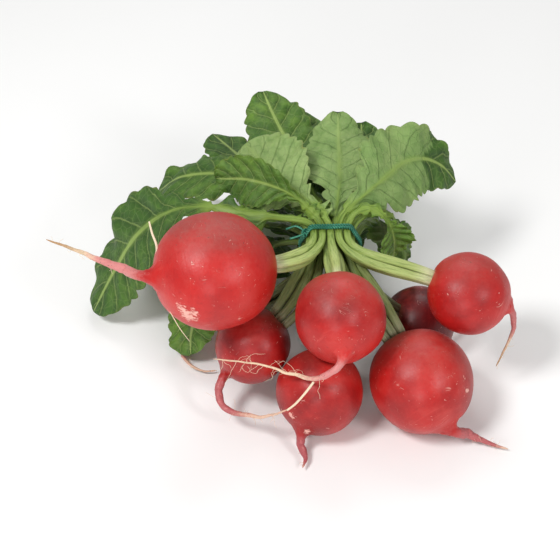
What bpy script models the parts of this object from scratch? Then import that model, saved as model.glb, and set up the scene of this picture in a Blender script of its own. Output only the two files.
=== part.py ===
# A bunch of round radishes lying on its side, leaves and roots held by one tie.
# Each root with its tail, each leaf with its stalk, and the tie is one solid.
import math

import bmesh
import bpy
import numpy as np
from mathutils import Vector

for thing in list(bpy.data.objects):
    bpy.data.objects.remove(thing, do_unlink=True)

MM = 0.001

# the tie: height of the middle of the bundle, stalk size and spacing inside it
TIE_HEIGHT = 46.4
STALK_PITCH = 2.9
STALK_ROW = 2.75
STALK_WIDE = 2.56
STALK_HIGH = 2.36
ROW_COUNTS = (5, 6, 7, 6, 5)
TIE_BREADTH = 3.6
TIE_THICK = 1.5
TIE_GAP = 0.35

# the heap of leaves: height of the top leaf, spacing of the layers under it
HEAP_HEIGHT = 61.0
LAYER_STEP = 9.5
LAYER_REACH = 14.0
HEAP_FALL = 3.0
TIP_HEIGHT = 4.0
REACH_ANGLES = (-80, -59, -40, -19, -9, 5, 13, 25, 38, 50)
REACH_LENGTHS = (92, 96, 104, 130, 144, 142, 128, 92, 68, 52)

# leaf body
BLADE_THICK = 1.1
RIB_THICK = 1.9
SECTION = 8
BLADE_RINGS = 11
FRONT_RINGS = 6

# root body
ROOT_SIDES = 14
CROWN_FLAT = 4.2
CROWN_GAP = 0.35

# centre, radius, stretch along the axis, crown direction, tail points after the skin
ROOTS = {
    "root_left_big": dict(
        at=(-39.2, -23.4, 54.2), radius=19.5, stretch=1.06, crown=(0.95, 0.28, -0.12),
        tail=((-69, -23.5, 54.5), (-77, -22.5, 57.5), (-86, -20.5, 61), (-95, -19, 64)),
        thick=1.7, tip=0.45, colour=(0.55, 0.03, 0.03)),
    "root_left_low": dict(
        at=(-27.0, -28.4, 23.7), radius=12.9, stretch=1.0, crown=(0.7, 0.46, 0.55),
        tail=((-38.8, -39.8, 13.5), (-37.8, -44.5, 11.5), (-32, -49, 11.5), (-22.5, -53.5, 15),
              (-15, -57, 22.5)),
        thick=1.5, tip=0.45, colour=(0.4, 0.02, 0.03)),
    "root_middle": dict(
        at=(2.3, -35.8, 44.2), radius=15.2, stretch=1.0, crown=(-0.04, 0.98, 0.19),
        tail=((0.5, -54.5, 39), (-6, -54, 34.2), (-14, -49.5, 31.5), (-21.5, -46, 31.5),
              (-31, -44, 32), (-40, -40, 29)),
        thick=1.4, tip=0.4, colour=(0.52, 0.03, 0.03)),
    "root_right": dict(
        at=(47.4, -19.2, 40.1), radius=14.0, stretch=1.03, crown=(-0.93, 0.28, 0.24),
        tail=((62.6, -24, 34.5), (63.0, -25.5, 27), (60.5, -27.2, 19), (58.6, -28.4, 13.5)),
        thick=1.2, tip=0.4, colour=(0.52, 0.02, 0.03)),
    "root_front": dict(
        at=(-3.8, -42.3, 14.9), radius=14.7, stretch=1.0, crown=(0.41, 0.78, 0.47),
        tail=((-10.6, -57.0, 4.6), (-9.2, -61, 2.8), (-10, -65, 2.2)),
        thick=1.5, tip=0.5, colour=(0.5, 0.02, 0.03)),
    "root_front_right": dict(
        at=(30.9, -39.7, 17.9), radius=17.8, stretch=1.02, crown=(-0.5, 0.7, 0.51),
        tail=((46.5, -52, 5), (53.5, -54.3, 2.8), (60.5, -56.4, 1.8)),
        thick=1.8, tip=0.45, colour=(0.5, 0.03, 0.03)),
    "root_right_under": dict(
        at=(33.0, -6.5, 13.5), radius=13.4, stretch=1.0, crown=(-0.75, -0.25, 0.6),
        tail=((46.5, -0.5, 4.5), (51, 3, 2.8), (54, 8, 2.2)),
        thick=1.3, tip=0.45, colour=(0.3, 0.01, 0.02)),
    "root_left_under": dict(
        at=(-30.0, 0.0, 13.0), radius=12.9, stretch=1.0, crown=(0.62, -0.42, 0.66),
        tail=((-44.5, -3.6, 6), (-51, -6, 3.2), (-53.3, -11, 2.2), (-51, -16, 2), (-46, -19.5, 2),
              (-40.5, -19.5, 2.2)),
        thick=1.2, tip=0.45, colour=(0.35, 0.02, 0.02)),
}

# which root each place in the tie belongs to, rows from the bottom up
OWNERS = (
    ("root_left_under", "root_left_under", "root_front", "root_right_under", "root_right_under"),
    ("root_left_under", "root_left_under", "root_front", "root_front", "root_right_under",
     "root_right_under"),
    ("root_left_low", "root_left_low", "root_left_low", "root_middle", "root_front_right",
     "root_front_right", "root_front_right"),
    ("root_left_big", "root_left_big", "root_middle", "root_middle", "root_right", "root_right"),
    ("root_left_big", "root_left_big", "root_middle", "root_right", "root_right"),
)

# leaves with a course of their own: places after the tie, half width, blade start, cup, ripple
LEAF_COURSES = {
    (4, 0): dict(way=((-9, 3, 53.8), (-19, 4, 54.8), (-31.5, 6, 55), (-45.5, 11, 54),
                      (-57.5, 14.5, 48.5), (-70, 16.5, 36), (-80, 14.5, 19), (-88, 8.5, 5)),
                 half=18, start=0.34, peak=0.5, roll=8, cup=-0.12, ripple=0.8),
    (4, 1): dict(way=((-6.5, 4.5, 57), (-15, 9, 62), (-28, 13.5, 64), (-40, 19.5, 60)),
                 half=9, start=0.2, peak=0.6, roll=32, cup=0.25, ripple=1.2),
    (4, 2): dict(way=((-3, 6.5, 55), (-10, 14, 56.5), (-18, 20.5, 59.5), (-25, 26, 63.5), (-30, 30, 67.5)),
                 half=15, start=0.2, peak=0.6, roll=22, cup=-0.06, ripple=0.6),
    (4, 3): dict(way=((4.5, 4.5, 56), (12, 9.5, 60.5), (20, 18, 62), (27, 27, 61.5), (35, 33, 58.5),
                      (42, 36, 53), (48, 37, 45)),
                 half=14.5, start=0.1, peak=0.33, roll=-18, cup=-0.06, ripple=1.0),
    (4, 4): dict(way=((8.5, 4.5, 56), (14, 5.5, 57.5), (19.5, 4, 54), (22.5, 3, 46), (23, 3, 37)),
                 half=6.5, start=0.45, peak=0.6, roll=0, cup=0.35, ripple=1.0),
    (3, 0): dict(way=((-9, 4.5, 51), (-15, 9.5, 50), (-25, 10.5, 48), (-37, 10, 43.5), (-47, 8.5, 38.5)),
                 half=9, start=0.2, peak=0.6, roll=0, cup=0.12, ripple=0.8),
    (3, 1): dict(way=((-5.5, 7, 50.5), (-12, 17, 51.5), (-25, 27, 52.5), (-41, 33, 51.5),
                      (-55, 38, 46), (-64, 42, 36)),
                 half=13, start=0.32, peak=0.6, roll=0, cup=-0.1, ripple=0.8),
    (3, 2): dict(way=((-2, 8, 50), (-5, 20, 51), (-10, 34, 54), (-16, 46, 59), (-21, 56, 64), (-24, 64, 67)),
                 half=13, start=0.22, peak=0.55, roll=0, cup=-0.08, ripple=0.6),
    (3, 3): dict(way=((2, 8, 51), (3.5, 20, 54.5), (4, 32, 58.5), (4, 44, 62), (4, 53, 64.5)),
                 half=13, start=0.12, peak=0.48, roll=0, cup=-0.08, ripple=0.6),
    (3, 4): dict(way=((6, 8, 48.5), (9, 18, 50), (11, 31, 54), (12.5, 44, 58), (13, 53, 60)),
                 half=12, start=0.22, peak=0.55, roll=0, cup=-0.08, ripple=0.6),
    (3, 5): dict(way=((9.5, 5, 52), (15, 8.5, 53.5), (22, 10.5, 50), (27, 11.5, 40), (29, 12.5, 28)),
                 half=6, start=0.45, peak=0.6, roll=0, cup=0.2, ripple=0.8),
    (2, 3): dict(way=((-0.5, 8, 47), (-3.5, 20, 46), (-15, 34, 44.5), (-29, 48, 44.5), (-38, 58, 46),
                      (-44, 66, 46)),
                 half=12, start=0.24, peak=0.6, roll=0, cup=-0.08, ripple=0.6),
    (2, 4): dict(way=((2.5, 8, 46.5), (0.5, 20, 48), (-3.5, 34, 50), (-6, 46, 53), (-8, 56, 56),
                      (-8.5, 64, 58)),
                 half=11, start=0.28, peak=0.62, roll=0, cup=-0.08, ripple=0.6),
    (2, 6): dict(way=((11, 7, 47), (15, 14, 45), (19, 20, 40), (22, 25, 31), (24, 28, 20), (25, 30, 11)),
                 half=8.5, start=0.3, peak=0.6, roll=0, cup=0.1, ripple=0.8),
    (1, 0): dict(way=((-10, 5, 42.5), (-20, 9, 38), (-34, 9, 31.5), (-43, 4, 23), (-48, -2, 15),
                      (-50, -9, 10), (-50, -16, 7)),
                 half=11, start=0.42, peak=0.64, roll=50, cup=0.1, ripple=0.8),
}

# leaves that follow the heap: first and last angle of each row, layer and half width
ROW_FANS = (
    dict(first=-36, last=10, layer=-0.4, sway=0.0, half=6),
    dict(first=-56, last=10, layer=0.85, sway=0.1, half=8.5),
    dict(first=-56, last=25, layer=2.05, sway=0.1, half=8.5),
    dict(first=-74, last=34, layer=3.3, sway=0.1, half=15),
    dict(first=0, last=0, layer=4.0, sway=0.0, half=14),
)


def unit(v):
    v = np.asarray(v, float)
    return v / np.linalg.norm(v)


def smooth(t):
    t = np.clip(t, 0.0, 1.0)
    return t * t * (3 - 2 * t)


def turn(vector, start, end):
    # carry a vector along when one direction is turned onto another
    axis = np.cross(start, end)
    sine = np.linalg.norm(axis)
    cosine = float(np.dot(start, end))
    if sine < 1e-9:
        return np.array(vector, float)
    axis = axis / sine
    return (vector * cosine + np.cross(axis, vector) * sine
            + axis * np.dot(axis, vector) * (1 - cosine))


def between(t, low, high, a, b):
    # straight mix of two points as t goes from low to high
    return (high - t) / (high - low) * a + (t - low) / (high - low) * b


def curve_through(points, count, power=0.5):
    # smooth curve through the points, evenly spaced samples by length
    p = [np.asarray(q, float) for q in points]
    p = [2 * p[0] - p[1]] + p + [2 * p[-1] - p[-2]]
    fine = []
    for i in range(1, len(p) - 2):
        knots = [0.0]
        for a, b in ((p[i - 1], p[i]), (p[i], p[i + 1]), (p[i + 1], p[i + 2])):
            knots.append(knots[-1] + max(np.linalg.norm(b - a), 1e-6) ** power)
        for k in range(24):
            t = knots[1] + (knots[2] - knots[1]) * k / 24
            a1 = between(t, knots[0], knots[1], p[i - 1], p[i])
            a2 = between(t, knots[1], knots[2], p[i], p[i + 1])
            a3 = between(t, knots[2], knots[3], p[i + 1], p[i + 2])
            b1 = between(t, knots[0], knots[2], a1, a2)
            b2 = between(t, knots[1], knots[3], a2, a3)
            fine.append(between(t, knots[1], knots[2], b1, b2))
    fine.append(p[-2])
    fine = np.array(fine)
    length = np.concatenate([[0], np.cumsum(np.linalg.norm(np.diff(fine, axis=0), axis=1))])
    want = np.asarray(count, float) * length[-1] if np.ndim(count) else np.linspace(0, length[-1], count)
    return np.stack([np.interp(want, length, fine[:, k]) for k in range(3)], axis=1)


def tangents(line):
    out = np.gradient(line, axis=0)
    return out / np.linalg.norm(out, axis=1)[:, None]


def loft(name, rings, colour, roughness, collection, closed=False):
    mesh = bmesh.new()
    rows = [[mesh.verts.new(Vector(p) * MM) for p in ring] for ring in rings]
    count = len(rows[0])
    last = len(rows) if closed else len(rows) - 1
    for i in range(last):
        here, there = rows[i], rows[(i + 1) % len(rows)]
        for j in range(count):
            k = (j + 1) % count
            mesh.faces.new((here[j], here[k], there[k], there[j]))
    if not closed:
        for row, ring in ((rows[0], rings[0]), (rows[-1], rings[-1])):
            hub = mesh.verts.new(Vector(np.mean(ring, axis=0)) * MM)
            for j in range(count):
                mesh.faces.new((hub, row[j], row[(j + 1) % count]))
    bmesh.ops.triangulate(mesh, faces=mesh.faces)
    bmesh.ops.recalc_face_normals(mesh, faces=mesh.faces)
    data = bpy.data.meshes.new(name)
    mesh.to_mesh(data)
    mesh.free()
    piece = bpy.data.objects.new(name, data)
    paint = bpy.data.materials.new(name + "_colour")
    paint.use_nodes = True
    shader = paint.node_tree.nodes["Principled BSDF"]
    shader.inputs["Base Color"].default_value = (*colour, 1)
    shader.inputs["Roughness"].default_value = roughness
    shader.inputs["Metallic"].default_value = 0
    data.materials.append(paint)
    collection.objects.link(piece)
    return piece


bunch = bpy.data.collections.new("bunch_of_radishes")
bpy.context.scene.collection.children.link(bunch)


# roots: a round body with a flat crown, drawn out into its tail
def root_rings(root):
    centre = np.array(root["at"], float)
    crown = unit(root["crown"])
    radius = root["radius"]
    rings = []
    start = math.degrees(math.asin(CROWN_FLAT / radius))
    angles = [start] + [start + (158 - start) * k / 9 for k in range(1, 10)]
    side = np.cross(crown, (0.0, 0.0, 1.0) if abs(crown[2]) < 0.9 else (1.0, 0.0, 0.0))
    side = unit(side)
    up = np.cross(side, crown)
    for angle in angles:
        a = math.radians(angle)
        along = radius * root["stretch"] * math.cos(a)
        out = radius * math.sin(a)
        ring = []
        for j in range(ROOT_SIDES):
            t = 2 * math.pi * j / ROOT_SIDES
            ring.append(centre + crown * along + (side * math.cos(t) + up * math.sin(t)) * out)
        rings.append(ring)
    neck = centre - crown * radius * root["stretch"] * 1.04
    line = curve_through([neck, neck - crown * 2.2] + list(root["tail"]), 9)
    ways = tangents(line)
    before = -crown
    s, u = side, up
    for k, (point, way) in enumerate(zip(line, ways)):
        s, u = turn(s, before, way), turn(u, before, way)
        before = way
        f = k / (len(line) - 1)
        thick = root["tip"] + (root["thick"] - root["tip"]) * (1 - f) ** 1.2
        if k == 0:
            thick *= 1.5
        rings.append([point + (s * math.cos(2 * math.pi * j / ROOT_SIDES)
                               + u * math.sin(2 * math.pi * j / ROOT_SIDES)) * thick
                      for j in range(ROOT_SIDES)])
    return rings


for name, root in ROOTS.items():
    loft(name, root_rings(root), root["colour"], 0.45, bunch)


# places of the stalks inside the tie
def slot(row, place):
    return np.array([(place - (ROW_COUNTS[row] - 1) / 2) * STALK_PITCH, 0.0,
                     TIE_HEIGHT + (row - 2) * STALK_ROW])


FORWARD = np.array([0.0, 1.0, 0.0])
groups = {}
for row in range(5):
    for place in range(ROW_COUNTS[row]):
        groups.setdefault(OWNERS[row][place], []).append((row, place))


def stalk_line(owner, row, place):
    # from the crown of its root to just before the tie
    root = ROOTS[owner]
    crown = unit(root["crown"])
    mates = [slot(*m) for m in groups[owner]]
    middle = np.mean(mates, axis=0)
    top = math.sqrt(root["radius"] ** 2 - CROWN_FLAT ** 2) * root["stretch"] + CROWN_GAP
    base = np.array(root["at"]) + crown * top
    here = slot(row, place) - middle
    reach = np.linalg.norm(middle - base)
    a, b = base, base + crown * reach * 0.38
    d = middle - FORWARD * 2.0
    c = d - FORWARD * reach * 0.36
    line = []
    for k in range(FRONT_RINGS):
        t = k / FRONT_RINGS
        centre = (a * (1 - t) ** 3 + b * 3 * t * (1 - t) ** 2 + c * 3 * t * t * (1 - t) + d * t ** 3)
        way = (b - a) * (1 - t) ** 2 + (c - b) * 2 * t * (1 - t) + (d - c) * t * t
        size = 1.02 + 0.3 * math.sin(math.pi * min(1.0, t / 0.7))
        line.append(centre + turn(here * size, FORWARD, unit(way)))
    return line


def heap_way(row, place):
    # a leaf that lies in the heap: fans out from the tie and falls to the ground
    fan = ROW_FANS[row]
    angle = fan["first"] + (fan["last"] - fan["first"]) * place / (ROW_COUNTS[row] - 1)
    layer = fan["layer"] + fan["sway"] * (-1) ** place
    reach = float(np.interp(angle, REACH_ANGLES, REACH_LENGTHS)) - LAYER_REACH * (4 - layer)
    high = HEAP_HEIGHT - LAYER_STEP * (4 - layer)
    low = slot(row, place)
    way = []
    for s in (0.09, 0.24, 0.42, 0.6, 0.78, 0.92, 1.0):
        bend = math.radians(angle) * smooth(s / 0.42)
        x = reach * s * math.sin(bend) + low[0]
        y = reach * s * math.cos(bend)
        rise = smooth(s / 0.26)
        top = high - (high - TIP_HEIGHT) * s ** HEAP_FALL
        way.append((x, y, low[2] * (1 - rise) + top * rise))
    return way


def blade_half(q, peak):
    # narrow at the stalk, widest at the peak, rounded tip
    if q > peak:
        return math.sqrt(max(0.0, 1 - ((q - peak) / (1.005 - peak)) ** 2))
    return 0.1 + 0.9 * float(smooth(q / peak))


def leaf_rings(row, place):
    owner = OWNERS[row][place]
    here = slot(row, place)
    front = stalk_line(owner, row, place)
    course = LEAF_COURSES.get((row, place))
    if course:
        way = list(course["way"])
    else:
        way = heap_way(row, place)
        course = dict(half=ROW_FANS[row]["half"], start=0.24, peak=0.66, roll=0, cup=-0.08,
                      ripple=0.5)
    back = curve_through([here + FORWARD * 2.2] + way, 160)
    start = course["start"]
    steps = [0.0, start * 0.3, start * 0.65]
    steps += [start + (1 - start) * k / (BLADE_RINGS - 1) for k in range(BLADE_RINGS)]
    line = list(front) + [here - FORWARD * 2.0] + [back[int(round(s * 159))] for s in steps]
    fractions = [-1] * (len(front) + 1) + steps
    line = np.array(line)
    ways = tangents(line)
    middle = len(front) + 1
    sides = [None] * len(line)
    sides[middle] = np.array([1.0, 0.0, 0.0])
    ways[middle] = FORWARD
    ways[middle - 1] = FORWARD
    for k in range(middle + 1, len(line)):
        sides[k] = turn(sides[k - 1], ways[k - 1], ways[k])
    for k in range(middle - 1, -1, -1):
        sides[k] = turn(sides[k + 1], ways[k + 1], ways[k])
    rings = []
    for k, s in enumerate(fractions):
        side = unit(sides[k] - ways[k] * np.dot(sides[k], ways[k]))
        lean = math.radians(course["roll"]) * float(smooth(s / start)) if s > 0 else 0.0
        side = side * math.cos(lean) + np.cross(side, ways[k]) * math.sin(lean)
        up = np.cross(side, ways[k])
        wide, high = STALK_WIDE / 2, STALK_HIGH / 2
        q = -1.0
        if s > start:
            q = (s - start) / (1 - start)
            f = min(1.0, q / 0.25)
            wide = max(0.5, wide * (1 - f) * 0.8 + course["half"] * blade_half(q, course["peak"]))
            high = max(0.3, (1 - f) * high * 0.85 + f * RIB_THICK / 2 * (1 - 0.6 * q))
        elif s > 0:
            wide, high = wide * (1 - 0.15 * s / start), high * (1 - 0.15 * s / start)
        ring = []
        for j in range(SECTION):
            t = 2 * math.pi * j / SECTION
            a, b = math.cos(t), math.sin(t)
            lift = 0.0
            if q > 0:
                lift = course["cup"] * wide * a * a
                lift += course["ripple"] * math.sin(9 * q + 2.1 * place + row) * a * abs(a) * min(1, 3 * q)
                shell = BLADE_THICK / 2 * (1 - 0.3 * q)
                b = b * (shell / high + (1 - shell / high) * (1 - abs(a)) ** 1.0)
            ring.append(line[k] + side * a * wide + up * (b * high + lift))
        rings.append(ring)
    return rings


for row in range(5):
    for place in range(ROW_COUNTS[row]):
        deep = 0.75 + 0.08 * row
        shade = (0.07 * deep, 0.2 * deep, 0.04 * deep)
        loft("leaf_%d_%d" % (row + 1, place + 1), leaf_rings(row, place), shade, 0.6, bunch)


# the tie lies tight round the outermost stalks
def tie_rings():
    stalks = [slot(r, c) for r in range(5) for c in range(ROW_COUNTS[r])]
    rings = []
    turns = 36
    for k in range(turns):
        a = 2 * math.pi * (k + 0.5) / turns
        out = np.array([math.cos(a), 0.0, math.sin(a)])
        outer = max(stalks, key=lambda p: p[0] * out[0] + p[2] * out[2])
        grow = out * (STALK_WIDE / 2 + TIE_GAP + TIE_THICK / 2)
        point = np.array([outer[0], 0.0, outer[2]]) + grow
        ring = []
        for j in range(8):
            t = 2 * math.pi * j / 8
            ring.append(point + out * math.cos(t) * TIE_THICK / 2
                        + FORWARD * math.sin(t) * TIE_BREADTH / 2)
        rings.append(ring)
    return rings


loft("tie", tie_rings(), (0.03, 0.25, 0.18), 0.4, bunch, closed=True)

# stand the bunch on the ground, middle of its outline at the origin
points = [v.co for o in bunch.objects for v in o.data.vertices]
low = Vector([min(p[k] for p in points) for k in range(3)])
high = Vector([max(p[k] for p in points) for k in range(3)])
move = Vector((-(low.x + high.x) / 2, -(low.y + high.y) / 2, -low.z))
for piece in bunch.objects:
    for v in piece.data.vertices:
        v.co += move
    piece.data.update()
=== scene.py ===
import math
import bpy
import numpy as np
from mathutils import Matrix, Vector, noise


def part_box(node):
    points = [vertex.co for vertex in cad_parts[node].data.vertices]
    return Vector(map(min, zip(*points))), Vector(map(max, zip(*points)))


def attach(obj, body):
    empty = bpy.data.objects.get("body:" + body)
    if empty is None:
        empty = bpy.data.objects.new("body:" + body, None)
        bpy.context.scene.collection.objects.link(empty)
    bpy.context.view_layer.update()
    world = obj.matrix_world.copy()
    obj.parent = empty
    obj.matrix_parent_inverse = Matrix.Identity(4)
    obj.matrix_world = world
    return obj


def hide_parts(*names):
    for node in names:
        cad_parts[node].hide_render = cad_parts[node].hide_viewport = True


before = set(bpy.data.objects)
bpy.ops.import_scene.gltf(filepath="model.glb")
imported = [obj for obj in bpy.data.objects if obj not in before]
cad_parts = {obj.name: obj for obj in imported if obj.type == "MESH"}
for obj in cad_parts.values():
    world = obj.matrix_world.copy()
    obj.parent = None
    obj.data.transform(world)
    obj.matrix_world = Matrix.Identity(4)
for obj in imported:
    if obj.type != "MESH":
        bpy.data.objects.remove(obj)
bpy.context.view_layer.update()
mm = 0.001

# the bundle, as the CAD part lays it out (millimetres, middle of the tie above the point 0, 0)
bundle = {
    "tieHeight": 46.4,
    "pitch": 2.9,              # from stalk to stalk along a row
    "rowStep": 2.75,           # from row to row
    "rows": (5, 6, 7, 6, 5),
    "stalkWide": 2.56,
    "stalkHigh": 2.36,
    "crownFlat": 4.2,
}
tieLow, tieHigh = (np.array(c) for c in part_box("tie"))
shift = (tieLow + tieHigh) / 2 - np.array((0, 0, bundle["tieHeight"])) * mm
forward = np.array((0.0, 1.0, 0.0))


def inFrame(p):
    # from the bundle's millimetres to the frame's metres
    return np.asarray(p, float) * mm + shift


def unit(v):
    v = np.asarray(v, float)
    return v / np.linalg.norm(v)


def smooth(t):
    t = np.clip(t, 0.0, 1.0)
    return t * t * (3 - 2 * t)


def bump(x, middle, width):
    # 1 at the middle, falling to 0 on both sides
    return np.exp(-((x - middle) / width) ** 2)


def turn(v, start, end):
    # carry v along as one direction is turned onto another
    axis = np.cross(start, end)
    s = np.linalg.norm(axis)
    c = float(np.dot(start, end))
    if s < 1e-9:
        return np.array(v, float)
    axis = axis / s
    return v * c + np.cross(axis, v) * s + axis * np.dot(axis, v) * (1 - c)


def curveThrough(points, count):
    # smooth curve through the points, with count points at even steps
    p = [np.asarray(q, float) for q in points]
    p = [2 * p[0] - p[1]] + p + [2 * p[-1] - p[-2]]
    fine = []
    for i in range(1, len(p) - 2):
        k = [0.0]
        for a, b in ((p[i - 1], p[i]), (p[i], p[i + 1]), (p[i + 1], p[i + 2])):
            k.append(k[-1] + max(np.linalg.norm(b - a), 1e-6) ** 0.5)
        for t in np.linspace(k[1], k[2], 24, endpoint=False):
            a1 = ((k[1] - t) * p[i - 1] + (t - k[0]) * p[i]) / (k[1] - k[0])
            a2 = ((k[2] - t) * p[i] + (t - k[1]) * p[i + 1]) / (k[2] - k[1])
            a3 = ((k[3] - t) * p[i + 1] + (t - k[2]) * p[i + 2]) / (k[3] - k[2])
            b1 = ((k[2] - t) * a1 + (t - k[0]) * a2) / (k[2] - k[0])
            b2 = ((k[3] - t) * a2 + (t - k[1]) * a3) / (k[3] - k[1])
            fine.append(((k[2] - t) * b1 + (t - k[1]) * b2) / (k[2] - k[1]))
    fine.append(p[-2])
    return evenly(np.array(fine), count)


def evenly(line, count):
    # the same line with count points at even steps
    length = np.concatenate([[0], np.cumsum(np.linalg.norm(np.diff(line, axis=0), axis=1))])
    want = np.linspace(0, length[-1], count)
    return np.stack([np.interp(want, length, line[:, k]) for k in range(3)], axis=1)


def frames(line, side, anchor=0):
    # directions along a line, with a side vector carried along it from the anchor
    ways = np.gradient(line, axis=0)
    ways /= np.linalg.norm(ways, axis=1)[:, None]
    sides = [None] * len(line)
    sides[anchor] = unit(side - ways[anchor] * np.dot(side, ways[anchor]))
    for k in range(anchor + 1, len(line)):
        sides[k] = turn(sides[k - 1], ways[k - 1], ways[k])
    for k in range(anchor - 1, -1, -1):
        sides[k] = turn(sides[k + 1], ways[k + 1], ways[k])
    return ways, np.array(sides)


def grain(p, size, seed=0.0):
    # smooth random value at a place, for shapes of about this size
    return noise.noise(Vector(p) / size + Vector((seed, seed * 1.7, -seed)))


# mesh of a tube from its rings of points, with caps unless its ends meet
def tubeData(rings, closed=False):
    rings = np.asarray(rings, float)
    n, m = rings.shape[:2]
    verts = rings.reshape(-1, 3)
    i = np.arange(n if closed else n - 1)[:, None]
    j = np.arange(m)[None, :]
    a, b = i * m + j, i * m + (j + 1) % m
    up = ((i + 1) % n) * m
    quads = np.stack([a, b, up + (j + 1) % m, up + j], axis=-1).reshape(-1, 4)
    pa, pb, pc, pd = (verts[quads[:, k]] - verts[0] for k in range(4))
    inward = (np.cross(pa, pb) * pc + np.cross(pa, pc) * pd).sum() < 0
    faces = quads.tolist()
    if not closed:
        verts = np.vstack([verts, rings[0].mean(0), rings[-1].mean(0)])
        faces += [[n * m, (k + 1) % m, k] for k in range(m)]
        faces += [[n * m + 1, (n - 1) * m + k, (n - 1) * m + (k + 1) % m] for k in range(m)]
    if inward:
        faces = [face[::-1] for face in faces]
    return verts, faces


def capped(values):
    # one value per ring vertex, with the two cap middles added
    return np.concatenate([values.reshape(-1), [values[0].mean(), values[-1].mean()]])


def makePiece(name, verts, faces, values, material):
    data = bpy.data.meshes.new(name)
    data.from_pydata([tuple(v) for v in verts], [], faces)
    for key, value in values.items():
        layer = data.attributes.new(key, "FLOAT", "POINT")
        layer.data.foreach_set("value", np.asarray(value, np.float32))
    data.polygons.foreach_set("use_smooth", [True] * len(data.polygons))
    data.materials.append(material)
    data.update()
    piece = bpy.data.objects.new(name, data)
    bpy.context.scene.collection.objects.link(piece)
    return piece


def joined(parts):
    # several meshes as one
    verts, faces, values, base = [], [], {}, 0
    for v, f, extra in parts:
        verts.append(v)
        faces += [[k + base for k in face] for face in f]
        for key, value in extra.items():
            values.setdefault(key, []).append(value)
        base += len(v)
    return np.vstack(verts), faces, {k: np.concatenate(v) for k, v in values.items()}


# a node socket that works in Python expressions
class Sock:
    def __init__(self, tree, socket):
        self.tree, self.socket = tree, socket

    def node(self, kind, settings, inputs, out=0):
        return addNode(self.tree, kind, settings, inputs, out)

    def math(self, how, *others, clamp=False):
        inputs = dict(enumerate([self, *others]))
        return self.node("ShaderNodeMath", {"operation": how, "use_clamp": clamp}, inputs)

    def __add__(self, o):
        return self.math("ADD", o)

    def __radd__(self, o):
        return self.math("ADD", o)

    def __sub__(self, o):
        return self.math("SUBTRACT", o)

    def __rsub__(self, o):
        return self.node("ShaderNodeMath", {"operation": "SUBTRACT"}, {0: o, 1: self})

    def __mul__(self, o):
        return self.math("MULTIPLY", o)

    def __rmul__(self, o):
        return self.math("MULTIPLY", o)

    def size(self):
        return self.math("ABSOLUTE")

    def part(self):
        return self.math("FRACT")

    def wave(self):
        return self.math("SINE")

    def clamped(self):
        return self.math("ADD", 0.0, clamp=True)

    def ramp(self, low, high):
        # 0 below low, 1 above high, eased between
        settings = {"interpolation_type": "SMOOTHSTEP"}
        return self.node("ShaderNodeMapRange", settings, {0: self, 1: low, 2: high, 3: 0.0, 4: 1.0})


def addNode(tree, kind, settings, inputs, out=0):
    made = tree.nodes.new(kind)
    for key, value in settings.items():
        setattr(made, key, value)
    for key, value in inputs.items():
        if isinstance(value, Sock):
            tree.links.new(value.socket, made.inputs[key])
        else:
            made.inputs[key].default_value = value
    return Sock(tree, made.outputs[out])


def rgb(red, green, blue):
    # display colour to linear
    return tuple((c / 255 / 12.92) if c < 11 else ((c / 255 + 0.055) / 1.055) ** 2.4
                 for c in (red, green, blue)) + (1.0,)


class Paint:
    def __init__(self, name):
        self.material = bpy.data.materials.new(name)
        self.material.use_nodes = True
        self.tree = self.material.node_tree
        self.shader = self.tree.nodes["Principled BSDF"]
        self.place = self.make("ShaderNodeTexCoord", {}, {}, "Object")

    def make(self, kind, settings, inputs, out=0):
        return addNode(self.tree, kind, settings, inputs, out)

    def value(self, key):
        return self.make("ShaderNodeAttribute", {"attribute_name": key}, {}, "Fac")

    def noise(self, size, detail=3.0, rough=0.5, place=None, twist=0.0):
        inputs = {"Vector": place or self.place, "Scale": 1 / (size * mm), "Detail": detail,
                  "Roughness": rough, "Distortion": twist}
        return self.make("ShaderNodeTexNoise", {}, inputs, "Fac")

    def cells(self, size):
        inputs = {"Vector": self.place, "Scale": 1 / (size * mm)}
        return self.make("ShaderNodeTexVoronoi", {"feature": "DISTANCE_TO_EDGE"}, inputs, "Distance")

    def mix(self, amount, a, b):
        settings = {"data_type": "RGBA", "clamp_factor": True}
        return self.make("ShaderNodeMix", settings, {0: amount, 6: a, 7: b}, 2)

    def stretched(self, x, y, z):
        return self.make("ShaderNodeVectorMath", {"operation": "MULTIPLY"},
                         {0: self.place, 1: (x, y, z)})

    def joinUp(self, x, y, z):
        return self.make("ShaderNodeCombineXYZ", {}, {0: x, 1: y, 2: z})

    def link(self, key, value):
        self.tree.links.new(value.socket, self.shader.inputs[key])

    def fix(self, values):
        for key, value in values.items():
            self.shader.inputs[key].default_value = value

    def relief(self, height, depth, strength=1.0):
        made = self.make("ShaderNodeBump", {}, {"Height": height, "Distance": depth * mm,
                                                "Strength": strength})
        self.link("Normal", made)


# colours as they are seen, 0 to 255
skinLook = {
    "bright": rgb(196, 26, 22), "deep": rgb(104, 4, 9), "blush": rgb(204, 66, 58),
    "scar": rgb(242, 184, 170), "dusty": rgb(158, 90, 82), "soil": rgb(84, 52, 44),
    "crown": rgb(186, 128, 104),
    "tailPink": rgb(212, 136, 132), "tailRed": rgb(160, 62, 70), "tailCream": rgb(226, 204, 172),
    "tailTan": rgb(176, 140, 100), "hair": rgb(232, 212, 184),
}


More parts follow.
